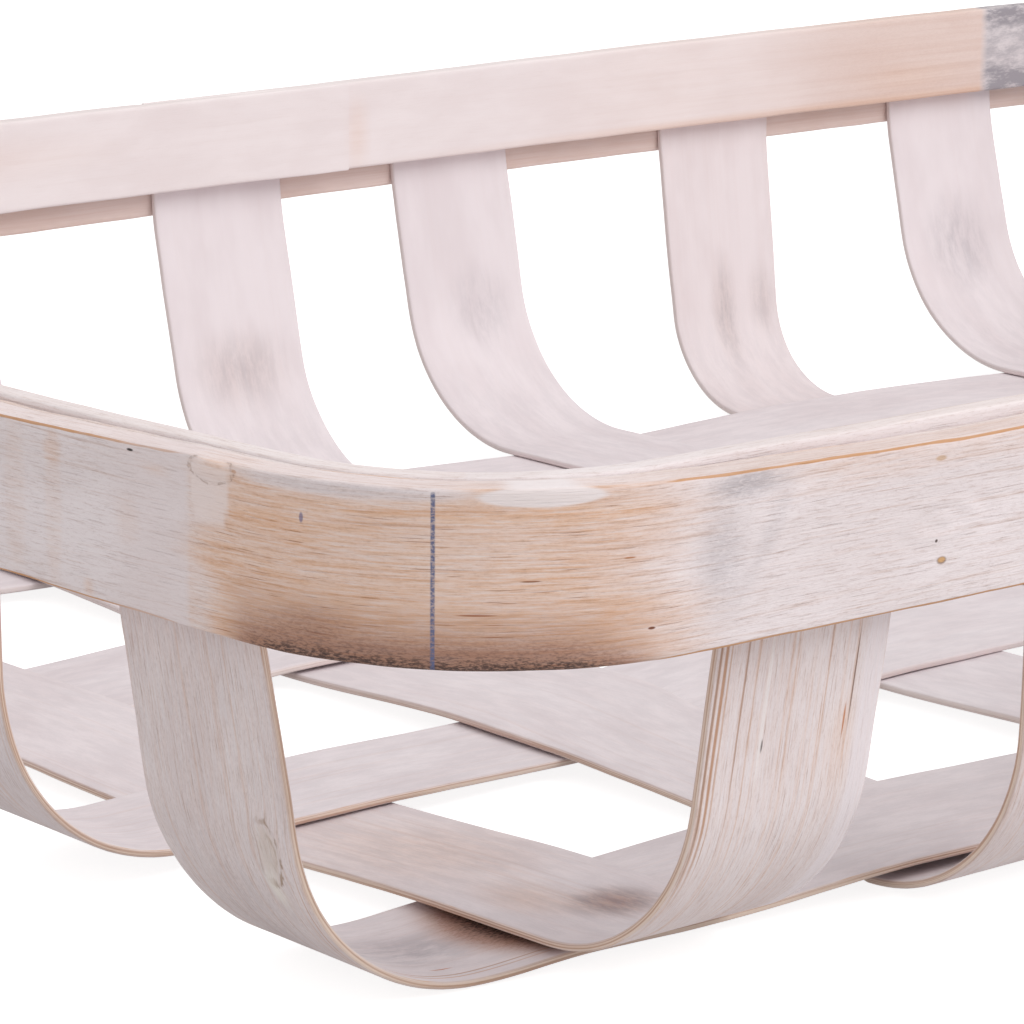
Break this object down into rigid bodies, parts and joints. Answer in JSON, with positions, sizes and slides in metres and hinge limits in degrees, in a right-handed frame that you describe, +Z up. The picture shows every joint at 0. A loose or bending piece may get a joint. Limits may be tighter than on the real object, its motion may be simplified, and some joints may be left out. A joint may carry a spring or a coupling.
{
  "type": "woven splint tray",
  "caption": "Shallow open rectangular tray with rounded corners, woven from wide flat whitewashed wood splints between two rim hoops.",
  "frame": {"origin": "on the surface the tray stands on, under the middle of the tray", "axes": "+X along the tray's length, +Y across it, +Z up"},
  "size_m": [0.6, 0.4, 0.098],
  "materials": {
    "outer_band_wood": "thin pinkish white wash over split wood, worn to bare tan at the edges and scorched at the corners",
    "inner_band_wood": "thin pinkish white wash over split wood",
    "filler_wood": "thin pinkish white wash over split wood",
    "splint_wood": "thin pinkish white wash over peeled veneer, with fine grain along each splint and bare tan edges"
  },
  "bodies": {
    "root": {"rim_outer_hoop": "outer_band_wood", "rim_inner_hoop": "inner_band_wood", "rim_filler": "filler_wood", "lengthwise_splint_1": "splint_wood", "lengthwise_splint_2": "splint_wood", "lengthwise_splint_3": "splint_wood", "lengthwise_splint_4": "splint_wood", "crosswise_splint_1": "splint_wood", "crosswise_splint_2": "splint_wood", "crosswise_splint_3": "splint_wood", "crosswise_splint_4": "splint_wood", "crosswise_splint_5": "splint_wood", "crosswise_splint_6": "splint_wood"}
  },
  "joints": []
}
